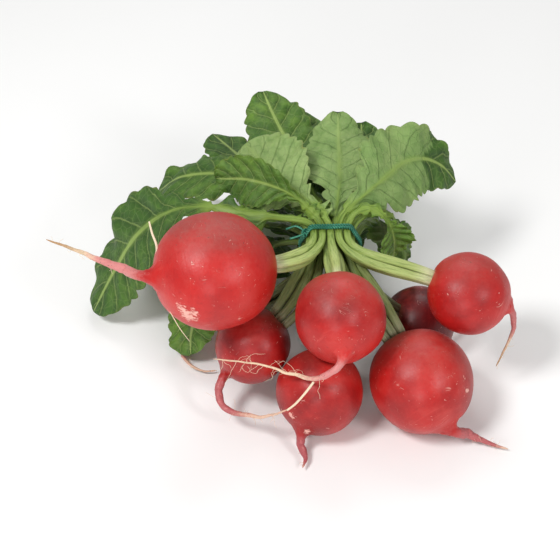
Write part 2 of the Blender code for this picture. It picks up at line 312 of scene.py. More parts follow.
def tailColour(p, tail, streak):
    # pink or dusky red by the root, cream further out, tan at the tip
    look = skinLook
    red = p.mix(p.value("pink") * streak.ramp(0.2, 0.5), look["tailPink"], look["tailRed"])
    pale = (tail + (streak - 0.5) * 0.35 - p.value("fade")).ramp(-0.12, 0.2)
    colour = p.mix(pale, red, p.mix(p.value("pink") * 0.5, look["tailCream"], look["tailPink"]))
    tan = (tail + (streak - 0.5) * 0.3).ramp(0.45, 0.85) * p.value("tan")
    return p.mix(tan, colour, look["tailTan"])


def makeSkin():
    look = skinLook
    p = Paint("radish_skin")
    tone, tail, crown, dust = p.value("tone"), p.value("tail"), p.value("crown"), p.value("dust")
    ring, along = p.value("ring"), p.value("along")
    wide, mid = p.noise(19, 2), p.noise(5, 4, 0.6)
    small, fine = p.noise(1.6, 4, 0.65), p.noise(0.6, 3, 0.6)
    # tone darkens a whole root toward the deep red: a random difference for most roots, painted shade for
    # root_right_under, which lies in shadow under the bunch
    deep = (wide * 1.05 + mid * 0.3 - 0.44 + tone).ramp(-0.05, 0.8)
    colour = p.mix(deep, look["bright"], look["deep"])
    colour = p.mix((1 - wide + (mid - 0.5) * 0.7).ramp(0.46, 0.72) * 0.4, colour, look["blush"])
    colour = p.mix(small.ramp(0.52, 0.8) * 0.3, colour, look["blush"])
    shade = (1 - small).ramp(0.52, 0.8) * 0.28 + (1 - fine).ramp(0.55, 0.8) * 0.12
    colour = p.mix(shade, colour, look["deep"])
    # fine rings round the root, mostly toward its tail
    rings = p.noise(1.0, 3, 0.6, p.joinUp(ring * 0.003, along * 0.035, wide * 0.003))
    colour = p.mix(rings.ramp(0.56, 0.74) * (0.1 + along.ramp(0.7, 0.98) * 0.4), colour, look["blush"])
    # pale nicks, hairline scratches and flecks
    nick = p.noise(2.2, 2, 0.5, p.stretched(1.0, 0.5, 1.5), 2.0).ramp(0.68, 0.72)
    nick = nick * p.noise(8, 1).ramp(0.46, 0.58)
    thread = 1 - (p.noise(7.0, 2, 0.5, p.stretched(0.8, 1.4, 0.7), 1.0) - 0.5).size().ramp(0.0, 0.006)
    thread = thread * p.noise(5, 1).ramp(0.6, 0.68) * 0.5
    speck = fine.ramp(0.72, 0.78) * mid.ramp(0.5, 0.62) * 0.6
    ragged = (p.noise(1.1, 4, 0.7, p.stretched(0.6, 1.0, 1.3)) - 0.5) * 3.2
    scrape = (p.value("scar") * 1.3 + ragged).ramp(0.35, 0.8) * p.value("scar").ramp(0.0, 0.2) * 0.9
    colour = p.mix((nick * 0.7 + thread + speck).clamped() * 0.8, colour, look["scar"])
    # soft dust on the side that lay in the soil, with a few dark grains
    film = dust * (0.38 + small.ramp(0.35, 0.7) * 0.4 + (mid - 0.5) * 0.5 + (wide - 0.5) * 0.6)
    colour = p.mix(film.clamped() * 0.8, colour, look["dusty"])
    grains = p.noise(0.8, 2, 0.6).ramp(0.69, 0.74) * (dust.ramp(0.1, 0.8) * 0.9 + 0.08)
    colour = p.mix(grains.clamped(), colour, look["soil"])
    colour = p.mix(crown.ramp(0.1, 0.9) * (0.4 + small * 0.8), colour, look["crown"])
    colour = p.mix(scrape, colour, look["scar"])
    streak = p.noise(1.1, 4, 0.65)
    root = p.mix(p.noise(0.6, 2).ramp(0.62, 0.7) * 0.5, tailColour(p, tail, streak), look["soil"])
    colour = p.mix((p.value("neck") + (streak - 0.5) * 0.5).ramp(0.25, 0.85), colour, root)
    p.link("Base Color", colour)
    onTail = tail.ramp(0.0, 0.1)
    rough = 0.27 + wide * 0.12 + fine * 0.16 + film.clamped() * 0.3
    p.link("Roughness", rough + onTail * 0.2 + scrape * 0.2)
    p.fix({"Specular IOR Level": 0.5, "Subsurface Weight": 0.06, "Subsurface Scale": 0.5,
           "Subsurface Radius": (0.003, 0.0008, 0.0006)})
    height = mid * 0.7 + small * 0.35 + fine * 0.22 + rings * (0.12 + along.ramp(0.75, 1.0) * 0.8)
    height = height - nick - thread - scrape * 0.6 + grains * 0.6 + streak * onTail * 1.2
    p.relief(height, 0.3, 0.6)
    return p.material


# the darkest stalk colour is painted shade for the stalks that lie deep in the bunch
leafLook = {
    "upper": rgb(62, 98, 34), "upperDeep": rgb(32, 58, 20), "upperLight": rgb(112, 146, 54),
    "under": rgb(112, 142, 78), "underLight": rgb(150, 172, 106), "underDeep": rgb(80, 112, 50),
    "vein": rgb(160, 182, 104), "stalkGreen": rgb(122, 150, 60), "stalkPale": rgb(170, 184, 112),
    "stalkWhite": rgb(206, 208, 166), "stalkDark": rgb(86, 114, 42), "stalkPaintedShade": rgb(44, 50, 24),
    "edge": rgb(150, 144, 70),
}


def makeLeaf():
    look = leafLook
    p = Paint("radish_leaf")
    q, a, under = p.value("along"), p.value("across"), p.value("under")
    blade, tone, stalk = p.value("blade"), p.value("tone"), p.value("stalk")
    wide, mid, fine = p.noise(14, 3), p.noise(3.5, 4, 0.6), p.noise(0.8, 3)
    off = a.size()
    wobble = (mid - 0.5) * 0.16
    # side veins leave the midrib at a slant, and a fine net lies between them
    v = (q * p.value("veins") - off * 1.35 + wobble + a.ramp(-0.01, 0.01) * 0.5).part()
    near = (v - 0.5).size() * 2.0
    side = near.ramp(0.86, 0.97) * off.ramp(0.02, 0.1) * (1 - off.ramp(0.75, 1.0) * 0.7)
    net = 1 - p.cells(3.4).ramp(0.0, 0.09)
    midrib = 1 - off.ramp(0.02, 0.075)
    quilt = (1 - near) * off.ramp(0.05, 0.3)
    top = p.mix((wide * 0.9 + mid * 0.5 - 0.35 + tone).ramp(0.05, 0.9), look["upperLight"], look["upper"])
    shade = (mid * 0.7 + (1 - quilt) * 0.4 + tone * 0.6 - 0.3).ramp(0.2, 0.95)
    top = p.mix(shade * 0.75, top, look["upperDeep"])
    top = p.mix((side * 0.32 + net * 0.1 + midrib * 0.8).clamped(), top, look["vein"])
    shade = (wide * 0.8 + mid * 0.5 - 0.2 + tone * 0.5).ramp(0.1, 0.9)
    low = p.mix(shade, look["underLight"], look["under"])
    low = p.mix((side * 0.3 + net * 0.1 + mid.ramp(0.5, 0.75) * 0.3).clamped(), low, look["underDeep"])
    low = p.mix(midrib * 0.8, low, look["underLight"])
    face = p.mix(under, top, low)
    face = p.mix(off.ramp(0.9, 1.0) * mid.ramp(0.45, 0.8) * 0.55, face, look["edge"])
    # stalk: whitish at the crown, yellow green at the tie, greener beyond
    rib = p.value("rib")
    stripe = p.noise(0.8, 3, 0.55, p.joinUp(rib * 0.006, stalk * 0.005, tone * 0.1))
    stem = p.mix(stalk.ramp(0.0, 0.22), look["stalkWhite"], look["stalkPale"])
    stem = p.mix((stalk + (stripe - 0.5) * 0.6).ramp(0.2, 1.25), stem, look["stalkGreen"])
    stem = p.mix(stripe.ramp(0.48, 0.68) * (0.35 + stalk.ramp(0.1, 1.1) * 0.5), stem, look["stalkDark"])
    # painted shade: the stalks of the lower rows darken toward a dark green, as shade under the bunch
    stem = p.mix((p.value("deep") * (0.7 + stripe * 0.6)).clamped(), stem, look["stalkPaintedShade"])
    colour = p.mix(blade, stem, face)
    p.link("Base Color", colour)
    p.link("Roughness", 0.5 + mid * 0.18 + under * 0.1 - (1 - blade) * 0.14)
    p.fix({"Specular IOR Level": 0.35, "Subsurface Weight": 0.1, "Subsurface Scale": 0.6,
           "Subsurface Radius": (0.0012, 0.002, 0.0006)})
    sign = 1 - under * 2
    height = (quilt * 0.9 - side * 0.5 - net * 0.22 - midrib * 0.5) * sign * blade
    p.relief(height + fine * 0.12 + stripe * (1 - blade) * 0.9 + mid * 0.3, 0.45, 0.9)
    return p.material


# main is the string's green; deep is painted shade and the lightest colour a painted highlight
tieLook = {"main": rgb(56, 146, 118), "deep": rgb(20, 84, 66), "paintedHighlight": rgb(134, 198, 170), "winds": 40.0}


def makeTie():
    look = tieLook
    p = Paint("tie_green")
    # painted shade in the grooves of the twist and painted highlights on its crests, laid along the helical
    # thread with some fuzz
    thread = (p.value("lay") * look["winds"] + p.value("round") * (2 * math.pi)).wave() * 0.5 + 0.5
    fuzz = p.noise(0.5, 3)
    colour = p.mix(thread * 0.6 + fuzz * 0.4, look["deep"], look["main"])
    colour = p.mix((fuzz * thread).ramp(0.4, 0.7) * 0.5, colour, look["paintedHighlight"])
    p.link("Base Color", colour)
    p.link("Roughness", 0.45 + fuzz * 0.2)
    p.relief(thread + fuzz * 0.6, 0.12)
    return p.material


def makeHair():
    p = Paint("root_hair")
    streak = p.noise(2.0, 2)
    pink = p.value("pink") * streak.ramp(0.3, 0.7)
    p.link("Base Color", p.mix(pink, skinLook["hair"], skinLook["tailPink"]))
    p.link("Roughness", 0.6 + streak * 0.2)
    return p.material


skin, leafPaint, tiePaint, hairPaint = makeSkin(), makeLeaf(), makeTie(), makeHair()
print("materials made")

# centre, radius, stretch along the axis, crown direction, tail points in millimetres
roots = {
    "root_left_big": {
        "at": (-39.2, -23.4, 54.2), "radius": 19.5, "stretch": 1.06, "crown": (0.95, 0.28, -0.12),
        "tail": ((-69, -23.5, 54.5), (-77, -22.5, 57.5), (-86, -20.5, 61), (-95, -19, 64)),
        "thick": 1.7, "tip": 0.45, "tone": -0.12, "dust": 1.0, "tan": 1.0, "pink": 0.1,
        "fade": 0.42, "taper": 1.3, "lean": 0.05,
        "scars": (((-0.43, -0.89, -0.16), 4.6), ((-0.3, -0.94, -0.1), 2.6), ((-0.52, -0.84, -0.02), 2.4),
                  ((0.42, -0.83, -0.3), 1.5))},
    "root_left_low": {
        "at": (-27.0, -28.4, 23.7), "radius": 13.3, "stretch": 1.0, "crown": (0.7, 0.46, 0.55),
        "tail": ((-38.8, -39.8, 13.5), (-37.8, -44.5, 11.5), (-32, -49, 11.5), (-22.5, -53.5, 15),
                 (-15, -57, 22.5)),
        "thick": 1.5, "tip": 0.45, "tone": 0.18, "dust": 0.35, "tan": 0.0, "pink": 0.7,
        "fade": 0.4, "taper": 1.5, "lean": 0.04,
        "scars": ()},
    "root_middle": {
        "at": (2.3, -35.8, 44.2), "radius": 15.5, "stretch": 1.0, "crown": (-0.04, 0.98, 0.19),
        "tail": ((0.5, -54.5, 39), (-6, -54, 34.2), (-14, -49.5, 31.5), (-21.5, -46, 31.5),
                 (-31, -44, 32), (-40, -40, 29)),
        "thick": 1.25, "tip": 0.4, "tone": 0.0, "dust": 0.7, "tan": 0.1, "pink": 0.1,
        "fade": 0.2, "taper": 2.4, "lean": 0.04,
        "scars": ()},
    "root_right": {
        "at": (47.4, -19.2, 40.1), "radius": 14.0, "stretch": 1.03, "crown": (-0.93, 0.28, 0.24),
        "tail": ((62.6, -24, 34.5), (63.0, -25.5, 27), (60.5, -27.2, 19), (58.6, -28.4, 13.5)),
        "thick": 1.2, "tip": 0.4, "tone": -0.08, "dust": 0.6, "tan": 0.9, "pink": 0.4,
        "fade": 0.35, "taper": 1.6, "lean": 0.05,
        "scars": ()},
    "root_front": {
        "at": (-3.8, -42.3, 15.2), "radius": 15.15, "stretch": 1.0, "crown": (0.41, 0.78, 0.47),
        "tail": ((-10.6, -57.0, 4.6), (-9.2, -61, 2.8), (-10, -65, 2.2)),
        "thick": 1.5, "tip": 0.5, "tone": 0.05, "dust": 0.3, "tan": 0.0, "pink": 0.85,
        "fade": 0.9, "taper": 1.0, "lean": 0.03,
        "scars": (((-0.66, -0.75, 0.05), 1.9), ((-0.29, -0.91, -0.3), 1.9))},
    "root_front_right": {
        "at": (30.9, -39.7, 17.9), "radius": 17.8, "stretch": 1.02, "crown": (-0.5, 0.7, 0.51),
        "tail": ((46.5, -52, 5), (53.5, -54.3, 2.8), (60.5, -56.4, 1.8)),
        "thick": 1.8, "tip": 0.45, "tone": 0.06, "dust": 0.6, "tan": 0.0, "pink": 0.7,
        "fade": 0.75, "taper": 1.4, "lean": 0.04,
        "scars": (((0.81, -0.51, 0.29), 1.6), ((0.74, -0.4, 0.52), 1.2))},
    # this root lies in shadow under the bunch; its high tone is painted shade
    "root_right_under": {
        "at": (33.0, -6.5, 13.5), "radius": 13.4, "stretch": 1.0, "crown": (-0.75, -0.25, 0.6),
        "tail": ((46.5, -0.5, 4.5), (51, 3, 2.8), (54, 8, 2.2)),
        "thick": 1.3, "tip": 0.45, "tone": 0.9, "dust": 0.0, "tan": 0.3, "pink": 0.5,
        "fade": 0.5, "taper": 1.4, "lean": 0.04,
        "scars": ()},
    "root_left_under": {
        "at": (-30.0, 0.0, 13.0), "radius": 12.9, "stretch": 1.0, "crown": (0.62, -0.42, 0.66),
        "tail": ((-44.5, -3.6, 6), (-51, -6, 3.2), (-53.3, -11, 2.2), (-51, -16, 2), (-46, -19.5, 2),
                 (-40.5, -19.5, 2.2)),
        "thick": 1.2, "tip": 0.45, "tone": 0.3, "dust": 0.2, "tan": 0.2, "pink": 0.7,
        "fade": 0.5, "taper": 1.3, "lean": 0.04,
        "scars": ()},
}
rootDetail = {"sides": 72, "bodyRings": 52, "neckRings": 16, "tailRings": 64, "unevenness": 0.022,
              "bodyEnd": 160, "neckEnd": 0.93, "wander": 2.4, "knobs": 0.14}


def curveTo(a, b, c, t):
    # curve from a to c that leaves a toward b
    return a * (1 - t) ** 2 + b * 2 * t * (1 - t) + c * t * t


def rootBody(r):
    # ring middles and radii, from the crown's shallow dish to where the neck starts
    d, centre, crown, radius = rootDetail, np.array(r["at"], float), unit(r["crown"]), r["radius"]
    start, end = math.asin(bundle["crownFlat"] / radius), math.radians(d["bodyEnd"])
    spine, outs = [], []
    for f in (0.0, 0.35, 0.7):
        spine.append(centre + crown * radius * (math.cos(start) * r["stretch"] - 0.012 + 0.012 * f))
        outs.append(radius * math.sin(start) * max(f, 0.02))
    for t in np.linspace(start, end, d["bodyRings"]):
        spine.append(centre + crown * radius * math.cos(t) * r["stretch"])
        outs.append(radius * math.sin(t))
    return spine, outs


def rootTail(r, a, out, seed):
    # the axis bends over to the tail while the width falls away
    d = rootDetail
    c = np.array(r["tail"][0], float)
    b = a - unit(r["crown"]) * np.linalg.norm(c - a) * 0.5
    drop = out - r["thick"]
    power = max(1.5, 2.75 * np.linalg.norm(c - a) / (r["stretch"] * drop))
    neck, outs = [], []
    for t in np.linspace(0, 0.9, d["neckRings"] + 1)[1:]:
        neck.append(curveTo(a, b, c, t))
        outs.append(r["thick"] + drop * (1 - t) ** power)
    line = curveThrough([curveTo(a, b, c, d["neckEnd"]), c] + list(r["tail"][1:]), d["tailRings"])
    for k in range(3, len(line)):                  # the tail wanders a little
        f = k / len(line)
        push = np.array([grain(line[k], 6.0, seed + m * 9.1) for m in range(3)])
        line[k] += push * d["wander"] * f * (1 - f)
        line[k][2] = max(line[k][2], 0.9)
    for k in range(len(line)):
        f = k / (len(line) - 1)
        thick = r["tip"] * 0.6 + (r["thick"] - r["tip"] * 0.6) * (1 - f) ** r["taper"]
        thick += drop * 0.1 ** power * math.exp(-f * 22)
        outs.append(thick * (1 + 0.16 * grain(line[k], 2.2, seed)) * (1 - 0.6 * smooth((f - 0.95) / 0.05)))
    return neck, line, outs


def buildRoot(name, r, seed):
    d = rootDetail
    centre, crown, radius = np.array(r["at"], float), unit(r["crown"]), r["radius"]
    side = unit(np.cross(crown, (0.0, 0.0, 1.0)))
    up = np.cross(side, crown)
    spine, outs = rootBody(r)
    neck, line, tailOuts = rootTail(r, spine[-1], outs[-1], seed)
    body = len(spine)
    first = body + len(neck)                       # the ring where the tail starts
    outs += tailOuts
    ways, sides = frames(np.vstack([spine[-1:], neck, line]), side)
    ups = np.vstack([np.tile(up, (body, 1)), np.cross(ways[1:], sides[1:])])
    sides = np.vstack([np.tile(side, (body, 1)), sides[1:]])
    spine = np.vstack([spine, neck, line])
    angles = np.linspace(0, 2 * math.pi, d["sides"], endpoint=False)
    rings, info = [], {}
    for k, out in enumerate(outs):
        ring = []
        for t in angles:
            way = sides[k] * math.cos(t) + ups[k] * math.sin(t)
            p = spine[k] + way * out
            swell = grain(p, radius * 1.3, seed) * 2.2 + grain(p, radius * 0.45, seed) * 0.6
            swell *= min(1.0, out / (radius * 0.5))
            p = p + (p - centre) * d["unevenness"] * swell
            p = p + way * out * r["lean"] * math.cos(t * 2 + seed) * 0.5
            if k > body:                           # knobbly tail
                p = p + way * out * d["knobs"] * grain(p, 1.3, seed)
            ring.append(p)
        ring = np.array(ring)
        ring[:, 2] = np.maximum(ring[:, 2], 0.15)
        rings.append(ring)
        x = np.dot(spine[k] - centre, crown) / radius
        away = (ring - centre) / radius
        near = np.zeros(len(angles))
        for place, size in r["scars"]:
            near = np.maximum(near, 1 - np.linalg.norm(away - unit(place), axis=1) * radius / size)
        marks = {
            "tail": (k - first) / (len(outs) - first) if k > first else 0.0,
            "neck": np.clip((k - body) / (first - body), 0, 1),
            "along": np.clip((1 - x) / 2, 0, 1),
            "crown": max(0.0, 1 - out / (bundle["crownFlat"] * 1.5)) * (x > 0),
            "scar": np.clip(near, 0, 1) * (k <= first),
            "dust": smooth((away @ np.array((0.05, 0.55, 0.83)) - 0.05) / 0.85) * r["dust"],
            "ring": np.cos(angles) * 0.5 + 0.5,
        }
        for key, value in marks.items():
            info.setdefault(key, []).append(np.broadcast_to(value, len(angles)))
    verts, faces = tubeData(inFrame(rings))
    values = {key: capped(np.array(v)) for key, v in info.items()}
    for key in ("tone", "tan", "pink", "fade"):
        values[key] = np.full(len(verts), r[key])
    piece = makePiece(name + "_look", verts, faces, values, skin)
    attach(piece, "root")
    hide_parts(name)
    return line, ways[-len(line):]


tailLines = {}
for seed, (name, r) in enumerate(roots.items()):
    tailLines[name] = buildRoot(name, r, seed * 3.7 + 1.3)
print("roots made")

# fine side roots on the tails, count and length for each root
hairs = {
    "thick": 0.062, "tip": 0.04, "pieces": 7, "sides": 7, "wander": 0.42, "droop": 0.12, "clear": 0.35,
    "count": {"root_left_big": 12, "root_left_low": 16, "root_middle": 22, "root_right": 10,
              "root_front": 12, "root_front_right": 12, "root_right_under": 4, "root_left_under": 6},
    "length": {"root_left_big": 4, "root_left_low": 5, "root_middle": 7.5, "root_right": 3,
               "root_front": 3, "root_front_right": 4, "root_right_under": 3, "root_left_under": 4},
    # side roots with a course of their own: points, half width at the start and end
    "own": (
        (((-59.6, -23.6, 54.6), (-58.6, -24.2, 59), (-58.2, -22, 63.4), (-59.8, -18.8, 66.6),
          (-60.8, -16, 69.2)), 0.6, 0.3),
        (((-58.4, -27.2, 52.2), (-56.2, -32.4, 49.6), (-53.4, -36.6, 46.6), (-50.6, -39.4, 42.6),
          (-47.6, -41.0, 38.4)), 0.24, 0.1),
        (((-15.2, -57.0, 22.2), (-12.6, -57.2, 25.4), (-9.6, -56.4, 29.4), (-6.6, -54.8, 33.4)), 0.36, 0.42),
    ),
}


def hairTube(line, thick, tip, pink):
    ways, sides = frames(line, np.array((0.3, 0.5, 0.81)))
    angles = np.linspace(0, 2 * math.pi, hairs["sides"], endpoint=False)
    rings, fs = [], []
    for k, p in enumerate(line):
        f = k / (len(line) - 1)
        over = np.cross(sides[k], ways[k])
        r = tip + (thick - tip) * (1 - f)
        rings.append([p + (sides[k] * math.cos(t) + over * math.sin(t)) * r for t in angles])
        fs.append(np.full(len(angles), f))
    verts, faces = tubeData(inFrame(rings))
    return verts, faces, {"tail": capped(np.array(fs)), "pink": np.full(len(verts), pink)}


def outside(p):
    # hairs lie on the skin, not in it
    for r in roots.values():
        away = p - np.array(r["at"])
        far = np.linalg.norm(away)
        if far < r["radius"] + hairs["clear"]:
            p = np.array(r["at"]) + away / far * (r["radius"] + hairs["clear"])
    return np.array((p[0], p[1], max(p[2], 0.3)))


def buildHairs():
    h = hairs
    dice = np.random.default_rng(11)
    parts = [hairTube(curveThrough(points, 30), thick, tip, 0.0) for points, thick, tip in h["own"]]
    for name, count in h["count"].items():
        line, ways = tailLines[name]
        for k in range(count):
            at = int(dice.uniform(0.03, 0.9) ** 0.8 * len(line))
            way = unit(np.cross(ways[at], dice.normal(size=3)))
            way = unit(way + ways[at] * dice.uniform(-0.2, 1.0))
            length = h["length"][name] * dice.uniform(0.35, 1.3)
            points = [line[at]]
            for piece in range(h["pieces"]):
                way = unit(way + dice.normal(size=3) * h["wander"] - np.array((0, 0, h["droop"])))
                points.append(outside(points[-1] + way * length / h["pieces"]))
            pink = 0.4 * roots[name]["pink"]
            parts.append(hairTube(curveThrough(points, 18), h["thick"], h["tip"], pink))
    verts, faces, values = joined(parts)
    piece = makePiece("root_hairs", verts, faces, values, hairPaint)
    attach(piece, "root")


buildHairs()
print("root hairs made")

# which root each stalk belongs to, rows from the bottom of the tie up
owners = (
    ("root_left_under", "root_left_under", "root_front", "root_right_under", "root_right_under"),
    ("root_left_under", "root_left_under", "root_front", "root_front", "root_right_under",
     "root_right_under"),
    ("root_left_low", "root_left_low", "root_left_low", "root_middle", "root_front_right",
     "root_front_right", "root_front_right"),
    ("root_left_big", "root_left_big", "root_middle", "root_middle", "root_right", "root_right"),
    ("root_left_big", "root_left_big", "root_middle", "root_right", "root_right"),
)
# leaves with a course of their own
courses = {
    (4, 0): {"way": ((-9, 3, 53.8), (-19, 4, 54.8), (-31.5, 6, 55), (-45.5, 11, 54),
                     (-57.5, 14.5, 48.5), (-70, 16.5, 36), (-80, 14.5, 19), (-88, 8.5, 5)),
             "half": 18, "start": 0.34, "peak": 0.5, "roll": 8, "cup": -0.12, "ripple": 0.8,
             "tone": 0.42, "flip": 0},
    (4, 1): {"way": ((-6.5, 4.5, 57), (-15, 9, 62), (-28, 13.5, 64), (-40, 19.5, 60)),
             "half": 9, "start": 0.2, "peak": 0.6, "roll": 32, "cup": 0.25, "ripple": 1.2,
             "tone": 0.2, "flip": 0},
    (4, 2): {"way": ((-3, 6.5, 55), (-10, 14, 56.5), (-18, 20.5, 59.5), (-25, 26, 63.5),
                     (-30, 30, 67.5)),
             "half": 15, "start": 0.2, "peak": 0.6, "roll": 22, "cup": -0.06, "ripple": 0.6,
             "tone": 0.0, "flip": 1},
    (4, 3): {"way": ((4.5, 4.5, 56), (12, 9.5, 60.5), (20, 18, 62), (27, 27, 61.5), (35, 33, 58.5),
                     (42, 36, 53), (48, 37, 45)),
             "half": 14.5, "start": 0.1, "peak": 0.33, "roll": -18, "cup": -0.06, "ripple": 1.0,
             "tone": 0.4, "fold": 0.7, "flip": 1},
    (4, 4): {"way": ((8.5, 4.5, 56), (14, 5.5, 57.5), (19.5, 4, 54), (22.5, 3, 46), (23, 3, 37)),
             "half": 6.5, "start": 0.45, "peak": 0.6, "roll": 0, "cup": 0.35, "ripple": 1.0,
             "tone": 0.05, "flip": 0},
    (3, 0): {"way": ((-9, 4.5, 51), (-15, 9.5, 50), (-25, 10.5, 48), (-37, 10, 43.5),
                     (-47, 8.5, 38.5)),
             "half": 9, "start": 0.2, "peak": 0.6, "roll": 0, "cup": 0.12, "ripple": 0.8,
             "tone": -0.1, "flip": 0},
    (3, 1): {"way": ((-5.5, 7, 50.5), (-12, 17, 51.5), (-25, 27, 52.5), (-41, 33, 51.5),
                     (-55, 38, 46), (-64, 42, 36)),
             "half": 13, "start": 0.32, "peak": 0.6, "roll": 0, "cup": -0.1, "ripple": 0.8,
             "tone": 0.3, "flip": 0},
    (3, 2): {"way": ((-2, 8, 50), (-5, 20, 51), (-10, 34, 54), (-16, 46, 59), (-21, 56, 64),
                     (-24, 64, 67)),
             "half": 13, "start": 0.22, "peak": 0.55, "roll": 0, "cup": -0.08, "ripple": 0.6,
             "tone": 0.3, "flip": 0},
    (3, 3): {"way": ((2, 8, 51), (3.5, 20, 54.5), (4, 32, 58.5), (4, 44, 62), (4, 53, 64.5)),
             "half": 13, "start": 0.12, "peak": 0.48, "roll": 0, "cup": -0.08, "ripple": 0.6,
             "tone": 0.25, "flip": 1},
    (3, 4): {"way": ((6, 8, 48.5), (9, 18, 50), (11, 31, 54), (12.5, 44, 58), (13, 53, 60)),
             "half": 12, "start": 0.22, "peak": 0.55, "roll": 0, "cup": -0.08, "ripple": 0.6,
             "tone": 0.35, "flip": 0},
    (3, 5): {"way": ((9.5, 5, 52), (15, 8.5, 53.5), (22, 10.5, 50), (27, 11.5, 40), (29, 12.5, 28)),
             "half": 6, "start": 0.45, "peak": 0.6, "roll": 0, "cup": 0.2, "ripple": 0.8,
             "tone": 0.3, "flip": 0},
    (2, 3): {"way": ((-0.5, 8, 47), (-3.5, 20, 46), (-15, 34, 44.5), (-29, 48, 44.5), (-38, 58, 46),
                     (-44, 66, 46)),
             "half": 12, "start": 0.24, "peak": 0.6, "roll": 0, "cup": -0.08, "ripple": 0.6,
             "tone": 0.45, "flip": 0},
    (2, 4): {"way": ((2.5, 8, 46.5), (0.5, 20, 48), (-3.5, 34, 50), (-6, 46, 53), (-8, 56, 56),
                     (-8.5, 64, 58)),
             "half": 11, "start": 0.28, "peak": 0.62, "roll": 0, "cup": -0.08, "ripple": 0.6,
             "tone": 0.2, "flip": 0},
    (2, 6): {"way": ((11, 7, 47), (15, 14, 45), (19, 20, 40), (22, 25, 31), (24, 28, 20), (25, 30, 11)),
             "half": 8.5, "start": 0.3, "peak": 0.6, "roll": 0, "cup": 0.1, "ripple": 0.8,
             "tone": 0.45, "flip": 0},
    (1, 0): {"way": ((-10, 5, 42.5), (-20, 9, 38), (-34, 9, 31.5), (-43, 4, 23), (-48, -2, 15),
                     (-50, -9, 10), (-50, -16, 7)),
             "half": 11, "start": 0.42, "peak": 0.64, "roll": 50, "cup": 0.1, "ripple": 0.8,
             "tone": 0.3, "flip": 0},
}
# the heap the other leaves lie in
heap = {
    "height": 61.0, "layerStep": 9.5, "layerReach": 14.0, "fall": 3.0, "tipHeight": 4.0,
    "angles": (-80, -59, -40, -19, -9, 5, 13, 25, 38, 50),
    "lengths": (92, 96, 104, 130, 144, 142, 128, 92, 68, 52),
    "fans": (
        {"first": -36, "last": 10, "layer": -0.4, "sway": 0.0, "half": 6},
        {"first": -56, "last": 10, "layer": 0.85, "sway": 0.1, "half": 8.5},
        {"first": -56, "last": 25, "layer": 2.05, "sway": 0.1, "half": 8.5},
        {"first": -74, "last": 34, "layer": 3.3, "sway": 0.1, "half": 15},
        {"first": 0, "last": 0, "layer": 4.0, "sway": 0.0, "half": 14},
    ),
}
# the last entry gives, for each row from the bottom, how much painted shade darkens its stalks
leafDetail = {
    "frontRings": 34, "backRings": 110, "across": 22, "thick": 0.55, "leaflet": 0.3, "ruffle": 1.0,
    "crumple": 2.88, "teeth": 0.05, "bulge": 0.42, "paintedShadeByRow": (0.8, 0.7, 0.45, 0.03, 0.0),
}


def slotAt(row, place):
    # where a stalk passes through the tie
    return np.array([(place - (bundle["rows"][row] - 1) / 2) * bundle["pitch"], 0.0,
                     bundle["tieHeight"] + (row - 2) * bundle["rowStep"]])


stalks = [(row, place) for row, count in enumerate(bundle["rows"]) for place in range(count)]
groups = {}                                        # the stalks of each root
for row, place in stalks:
    groups.setdefault(owners[row][place], []).append((row, place))


def stalkLine(row, place, count):
    # from the root's crown to the tie, each stalk keeping its place in its root's bundle
    root = roots[owners[row][place]]
    crown = unit(root["crown"])
    middle = np.mean([slotAt(*m) for m in groups[owners[row][place]]], axis=0)
    top = math.sqrt(root["radius"] ** 2 - bundle["crownFlat"] ** 2) * root["stretch"] - 0.5
    base = np.array(root["at"]) + crown * top
    here = slotAt(row, place) - middle
    reach = np.linalg.norm(middle - base)
    a, b, d = base, base + crown * reach * 0.38, middle - forward * 2.0
    c = d - forward * reach * 0.36
    line = []
    for t in np.linspace(0, 1, count):
        centre = a * (1 - t) ** 3 + b * 3 * t * (1 - t) ** 2 + c * 3 * t * t * (1 - t) + d * t ** 3
        way = (b - a) * (1 - t) ** 2 + (c - b) * 2 * t * (1 - t) + (d - c) * t * t
        size = 1.02 + 0.3 * math.sin(math.pi * min(1.0, t / 0.7))
        line.append(centre + turn(here * size, forward, unit(way)))
    return np.array(line)


def heapWay(row, place):
    # out from the tie in a fan, and down to the table at the tip
    fan = heap["fans"][row]
    angle = fan["first"] + (fan["last"] - fan["first"]) * place / (bundle["rows"][row] - 1)
    layer = fan["layer"] + fan["sway"] * (-1) ** place
    reach = float(np.interp(angle, heap["angles"], heap["lengths"])) - heap["layerReach"] * (4 - layer)
    high = heap["height"] - heap["layerStep"] * (4 - layer)
    low = slotAt(row, place)
    way = []
    for s in (0.09, 0.24, 0.42, 0.6, 0.78, 0.92, 1.0):
        side = math.radians(angle) * smooth(s / 0.42)
        rise = smooth(s / 0.26)
        top = high - (high - heap["tipHeight"]) * s ** heap["fall"]
        way.append((reach * s * math.sin(side) + low[0], reach * s * math.cos(side),
                    low[2] * (1 - rise) + top * rise))
    return way


def bladeHalf(q, peak, phase):
    # half width of the blade at q along it, 1 where it is widest
    if q > peak:
        half = math.sqrt(max(0.0, 1 - ((q - peak) / (1.005 - peak)) ** 2))
    else:
        half = 0.1 + 0.9 * float(smooth(q / peak))
    if q < 0.3:                                    # small lobes down the stalk
        half *= 0.62 + 0.38 * abs(math.sin(math.pi * q / 0.3 * 2.5 + phase))
    return half


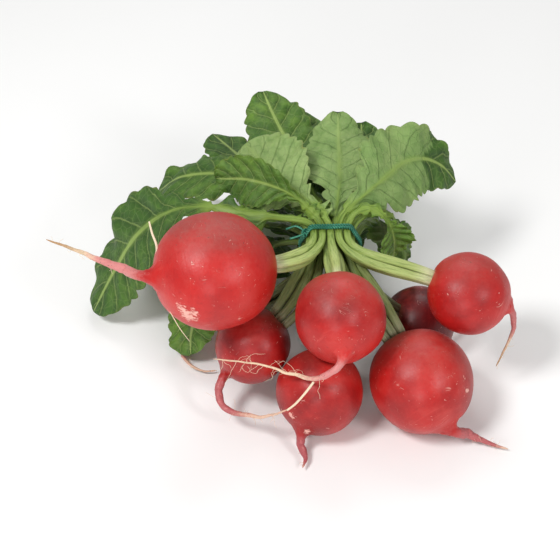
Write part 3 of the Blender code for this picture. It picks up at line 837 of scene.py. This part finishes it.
def leafSize(k, s, own, marks):
    # place along the blade, how much of the section is blade, half width and half height
    d, start = leafDetail, own["start"]
    wide, high = bundle["stalkWide"] / 2, bundle["stalkHigh"] / 2
    if s < 0:                                      # from the crown to the tie the stalk is fuller
        t = k / d["frontRings"]
        full = math.sin(math.pi * min(1.0, t / 0.85)) * 0.3 + 0.16 * (1 - smooth(t / 0.2))
        return -1.0, 0.0, wide * (1 + full), high * (1 + full * 0.5)
    if s > start:
        q = (s - start) / (1 - start)
        blade = float(smooth(q / 0.1))
        teeth = abs(math.sin(math.pi * marks["teeth"] * q + marks["phases"][1])) - 0.6
        grow = own["half"] * bladeHalf(q, own["peak"], marks["phases"][0])
        grow *= 1 + d["teeth"] * teeth * 2 * smooth(q * 4)
        wide = max(0.25, wide * 0.8 * (1 - blade) + grow)
        return q, blade, wide, max(0.2, high * 0.8 * (1 - q) * (1 - 0.25 * blade))
    wide, high = wide * (1 - 0.2 * s / start), high * (1 - 0.2 * s / start)
    if s == 0 or start < 0.18:
        return -1.0, 0.0, wide, high
    flap = max(bump(s / start, 0.58, 0.075), bump(s / start, 0.83, 0.09))    # small leaflets on the stalk
    wide += flap * own["half"] * d["leaflet"] * (0.8 + 0.2 * math.sin(s * 90))
    return -1.0, min(1.0, flap * 1.6), wide, high


def leafSection(q, blade, wide, high, a, b, own, marks):
    # height of the section over its width: a goes across from -1 to 1, b from under to upper side
    d, phases = leafDetail, marks["phases"]
    x = a * wide
    angles = marks["angles"]
    groove = 1 - 0.16 * bump(angles, math.pi / 2, 0.5) + 0.045 * np.cos(angles * 7 + phases[2])
    # the blade is a thin sheet with a rib standing out on the under side
    rib = np.exp(-(x / max(0.9, high * 1.3)) ** 2)
    belly = high * 0.95 * rib * np.where(b < 0, 1.0, 0.35)
    sheet = b * (d["thick"] / 2) * (1 - 0.6 * np.abs(a)) + np.sign(b) * belly * np.sqrt(np.abs(b))
    z = b * high * groove * (1 - blade) + sheet * blade
    if q <= 0:
        return z
    fade = min(1.0, 3 * q)
    z = z + own["cup"] * wide * a * a
    z = z + own["ripple"] * math.sin(9 * q + marks["sway"]) * a * np.abs(a) * fade
    edge = np.abs(a) ** 3 * fade * smooth((1.02 - q) * 6) * d["ruffle"] * min(1.0, own["half"] / 12)
    z = z + edge * np.where(a > 0, np.sin(26 * q + phases[3]) + 0.6 * np.sin(47 * q + phases[4]),
                            np.sin(23 * q + phases[5]) + 0.6 * np.sin(51 * q + phases[3]))
    # the sheet bulges up between the side veins
    v = q * marks["veins"] - np.abs(a) * 1.35 + (a > 0) * 0.5
    pillow = np.sin(math.pi * (v - np.floor(v))) ** 1.5 * smooth(np.abs(a) * 5)
    return z + d["bulge"] * pillow * smooth((1 - np.abs(a)) * 4) * fade * min(1.0, wide / 8)


def buildLeaf(row, place):
    d = leafDetail
    dice = np.random.default_rng(row * 31 + place * 7 + 5)
    here = slotAt(row, place)
    own = courses.get((row, place))
    way = own["way"] if own else heapWay(row, place)
    if not own:
        own = {"half": heap["fans"][row]["half"], "start": 0.24, "peak": 0.66, "roll": 0, "cup": -0.08,
               "ripple": 0.5, "tone": 0.5 - 0.05 * row + dice.uniform(-0.12, 0.12), "flip": 0}
    front = stalkLine(row, place, d["frontRings"])
    back = curveThrough([here + forward * 2.2] + list(way), d["backRings"])
    line = np.vstack([front, here, back])
    # along the leaf: -1 before the tie, then 0 to 1; along the stalk: 0 to 1 to the tie, then 1 to 2
    fractions = np.concatenate([np.full(len(front) + 1, -1.0), np.linspace(0, 1, len(back))])
    stalk = np.concatenate([np.linspace(0, 1, len(front) + 1), 1 + np.linspace(0, 1, len(back))])
    ways, sides = frames(line, np.array((1.0, 0, 0)), len(front))
    angles = np.linspace(0, 2 * math.pi, 2 * d["across"], endpoint=False)
    a, b = np.cos(angles), np.sin(angles)
    under = (b < -1e-6).astype(float)
    if own["flip"]:
        under = 1 - under
    marks = {"angles": angles, "phases": dice.uniform(0, 6.28, 6), "teeth": dice.integers(11, 15),
             "veins": float(dice.integers(7, 9)), "sway": 2.1 * place + row}
    rings, info = [], {}
    for k, s in enumerate(fractions):
        lean = math.radians(own["roll"]) * float(smooth(s / own["start"])) if s > 0 else 0.0
        side = sides[k] * math.cos(lean) + np.cross(sides[k], ways[k]) * math.sin(lean)
        up = np.cross(side, ways[k])
        q, blade, wide, high = leafSize(k, s, own, marks)
        x, z = a * wide, leafSection(q, blade, wide, high, a, b, own, marks)
        ring = line[k] + side * x[:, None] + up * z[:, None]
        if q > 0:
            soft = np.array([grain(p, 9.0, place + row * 5.0) for p in ring])
            ring = ring + up * (soft * d["crumple"] * np.abs(a) * min(1.0, 3 * q))[:, None]
        ring[:, 2] = np.maximum(ring[:, 2], 0.4)
        rings.append(ring)
        folded = q + 0.05 * np.sin(a * 4 + 1) > own.get("fold", 9)    # there the other side shows
        values = {
            "along": q, "across": a, "stalk": stalk[k], "rib": a * 0.5 + 0.5,
            "blade": np.clip(blade * np.minimum(1.0, np.abs(x) / 1.3 + q * 0.8), 0, 1),
            "under": np.where(folded, 1 - under, under) if s > 0 else 0.0,
        }
        for key, value in values.items():
            info.setdefault(key, []).append(np.broadcast_to(value, len(a)))
    verts, faces = tubeData(inFrame(rings))
    values = {key: capped(np.array(v)) for key, v in info.items()}
    # deep carries each row's painted shade on the stalks
    for key, value in (("tone", own["tone"]), ("veins", marks["veins"]), ("deep", d["paintedShadeByRow"][row])):
        values[key] = np.full(len(verts), value)
    name = "leaf_%d_%d" % (row + 1, place + 1)
    piece = makePiece(name + "_look", verts, faces, values, leafPaint)
    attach(piece, "root")
    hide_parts(name)


for row, place in stalks:
    buildLeaf(row, place)
print("leaves made")

# turns of two twisted strings, and a knot with two loose ends
tie = {
    "strand": 0.36, "turns": 2, "apart": 1.68, "twists": 34, "gap": 0.35, "count": 420, "sides": 10,
    "sway": 0.35, "soften": 10, "knotAt": 0.42, "knotSize": (0.75, 0.8, 1.5),
    "ends": (((-0.9, 1.2, 0.4), (-3.4, 3.6, 0.2), (-6.8, 4.2, -1.6)),
             ((-0.6, -1.4, 0.9), (-2.6, -3.8, 1.8), (-5.6, -4.4, 1.2))),
}


def tiePath(count):
    # once round the outermost stalks, with its corners softened
    points = []
    for t in np.linspace(0, 2 * math.pi, 96, endpoint=False):
        out = np.array([math.cos(t), 0.0, math.sin(t)])
        outer = max((slotAt(*m) for m in stalks), key=lambda p: p[0] * out[0] + p[2] * out[2])
        points.append(np.array([outer[0], 0.0, outer[2]])
                      + out * (bundle["stalkWide"] / 2 + tie["gap"] + tie["strand"]))
    path = evenly(np.array(points + [points[0]]), count + 1)[:-1]
    for _ in range(tie["soften"]):
        path = (np.roll(path, 1, 0) + path * 2 + np.roll(path, -1, 0)) / 4
    return path


def tieString(path, middle, turnNo, half, angles):
    # one string of a turn, twisted round the other
    rings, lays = [], []
    for k, p in enumerate(path):
        f = k / len(path)
        out = unit(p - middle)
        twist = f * tie["twists"] * 2 * math.pi + half * math.pi + turnNo
        sway = tie["sway"] * math.sin(2 * math.pi * f + turnNo * 2.4)
        core = p + forward * ((turnNo - 0.5) * tie["apart"] + sway)
        core = core + (out * math.cos(twist) + forward * math.sin(twist)) * tie["strand"] * 0.85
        rings.append([core + (out * math.cos(t) + forward * math.sin(t)) * tie["strand"] for t in angles])
        lays.append(np.full(len(angles), f))
    verts, faces = tubeData(inFrame(rings), closed=True)
    rounds = np.tile(angles / (2 * math.pi), len(path))
    return verts, faces, {"lay": np.array(lays).reshape(-1), "round": rounds}


def tieEnd(line, angles):
    # a single string along a line, with its ends closed
    ways, sides = frames(line, np.array((0.0, 0.0, 1.0)))
    rings = []
    for k, p in enumerate(line):
        up = np.cross(sides[k], ways[k])
        rings.append([p + (up * math.cos(t) + sides[k] * math.sin(t)) * tie["strand"] for t in angles])
    verts, faces = tubeData(inFrame(rings))
    lay = capped(np.repeat(np.linspace(0, 0.06, len(line))[:, None], len(angles), 1))
    return verts, faces, {"lay": lay, "round": capped(np.tile(angles / (2 * math.pi), (len(line), 1)))}


def buildTie():
    path = tiePath(tie["count"])
    middle = path.mean(0)
    angles = np.linspace(0, 2 * math.pi, tie["sides"], endpoint=False)
    parts = []
    for turnNo in range(tie["turns"]):
        parts += [tieString(path, middle, turnNo, half, angles) for half in range(2)]
    # a small knot at the upper left with two loose ends
    start = path[int(tie["knotAt"] * len(path))]
    out = unit(start - middle)
    across = np.cross(out, forward)
    thick, wide, long = tie["knotSize"]
    knot = [start + out * (0.5 + thick * math.cos(w)) + across * wide * math.sin(w)
            + forward * long * math.sin(w / 2) for w in np.linspace(0, 3.5 * math.pi, 60)]
    parts.append(tieEnd(np.array(knot), angles))
    for ways in tie["ends"]:
        points = [start + out * 0.5] + [start + np.array(way) for way in ways]
        parts.append(tieEnd(curveThrough(points, 30), angles))
    verts, faces, values = joined(parts)
    piece = makePiece("tie_look", verts, faces, values, tiePaint)
    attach(piece, "root")
    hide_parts("tie")


buildTie()
print("tie made")

# metres; each lamp has its name, place, size and power
studio = {
    "floor": rgb(248, 248, 247), "grit": rgb(240, 240, 238), "floorHalf": 3, "world": 0.32,
    "lookAt": (0, 0, 0.03),
    "lamps": (("key", (-0.34, -0.28, 0.62), 0.2, 3.2), ("right", (0.4, -0.42, 0.42), 0.16, 1.2),
              ("front", (-0.12, -0.72, 0.26), 0.2, 1.0), ("back", (0.05, 0.45, 0.6), 0.4, 1.5)),
}


def buildStudio():
    p = Paint("pale_floor")
    grit = p.noise(30, 2)
    p.link("Base Color", p.mix(grit * 0.15, studio["floor"], studio["grit"]))
    p.link("Roughness", 0.7 + grit * 0.1)
    h = studio["floorHalf"]
    verts = [(-h, -h, 0), (h, -h, 0), (h, h, 0), (-h, h, 0)]
    floor = makePiece("floor", verts, [[0, 1, 2, 3]], {}, p.material)
    world = bpy.data.worlds.new("soft_room")
    world.use_nodes = True
    sky = world.node_tree.nodes["Background"]
    sky.inputs["Color"].default_value = (1, 1, 1, 1)
    sky.inputs["Strength"].default_value = studio["world"]
    bpy.context.scene.world = world
    for name, at, size, power in studio["lamps"]:
        data = bpy.data.lights.new(name, "AREA")
        data.shape, data.size, data.energy = "DISK", size, power
        lamp = bpy.data.objects.new(name, data)
        lamp.location = at
        way = Vector(studio["lookAt"]) - Vector(at)
        lamp.rotation_euler = way.to_track_quat("-Z", "Y").to_euler()
        bpy.context.scene.collection.objects.link(lamp)


view = {"aim": (-17.6, -1.3, 30.0), "distance": 450.0, "elevation": 42.0, "lens": 80.4, "sensor": 36.0}


def buildCamera():
    data = bpy.data.cameras.new("camera")
    data.lens, data.sensor_width = view["lens"], view["sensor"]
    data.clip_start, data.clip_end = 0.01, 20.0
    camera = bpy.data.objects.new("camera", data)
    lift = math.radians(view["elevation"])
    back = np.array((0.0, -math.cos(lift), math.sin(lift)))
    camera.location = inFrame(np.array(view["aim"]) + back * view["distance"])
    camera.rotation_euler = (math.radians(90) - lift, 0.0, 0.0)
    bpy.context.scene.collection.objects.link(camera)
    bpy.context.scene.camera = camera
    bpy.context.scene.view_settings.view_transform = "Standard"


buildStudio()
buildCamera()
print("studio made")
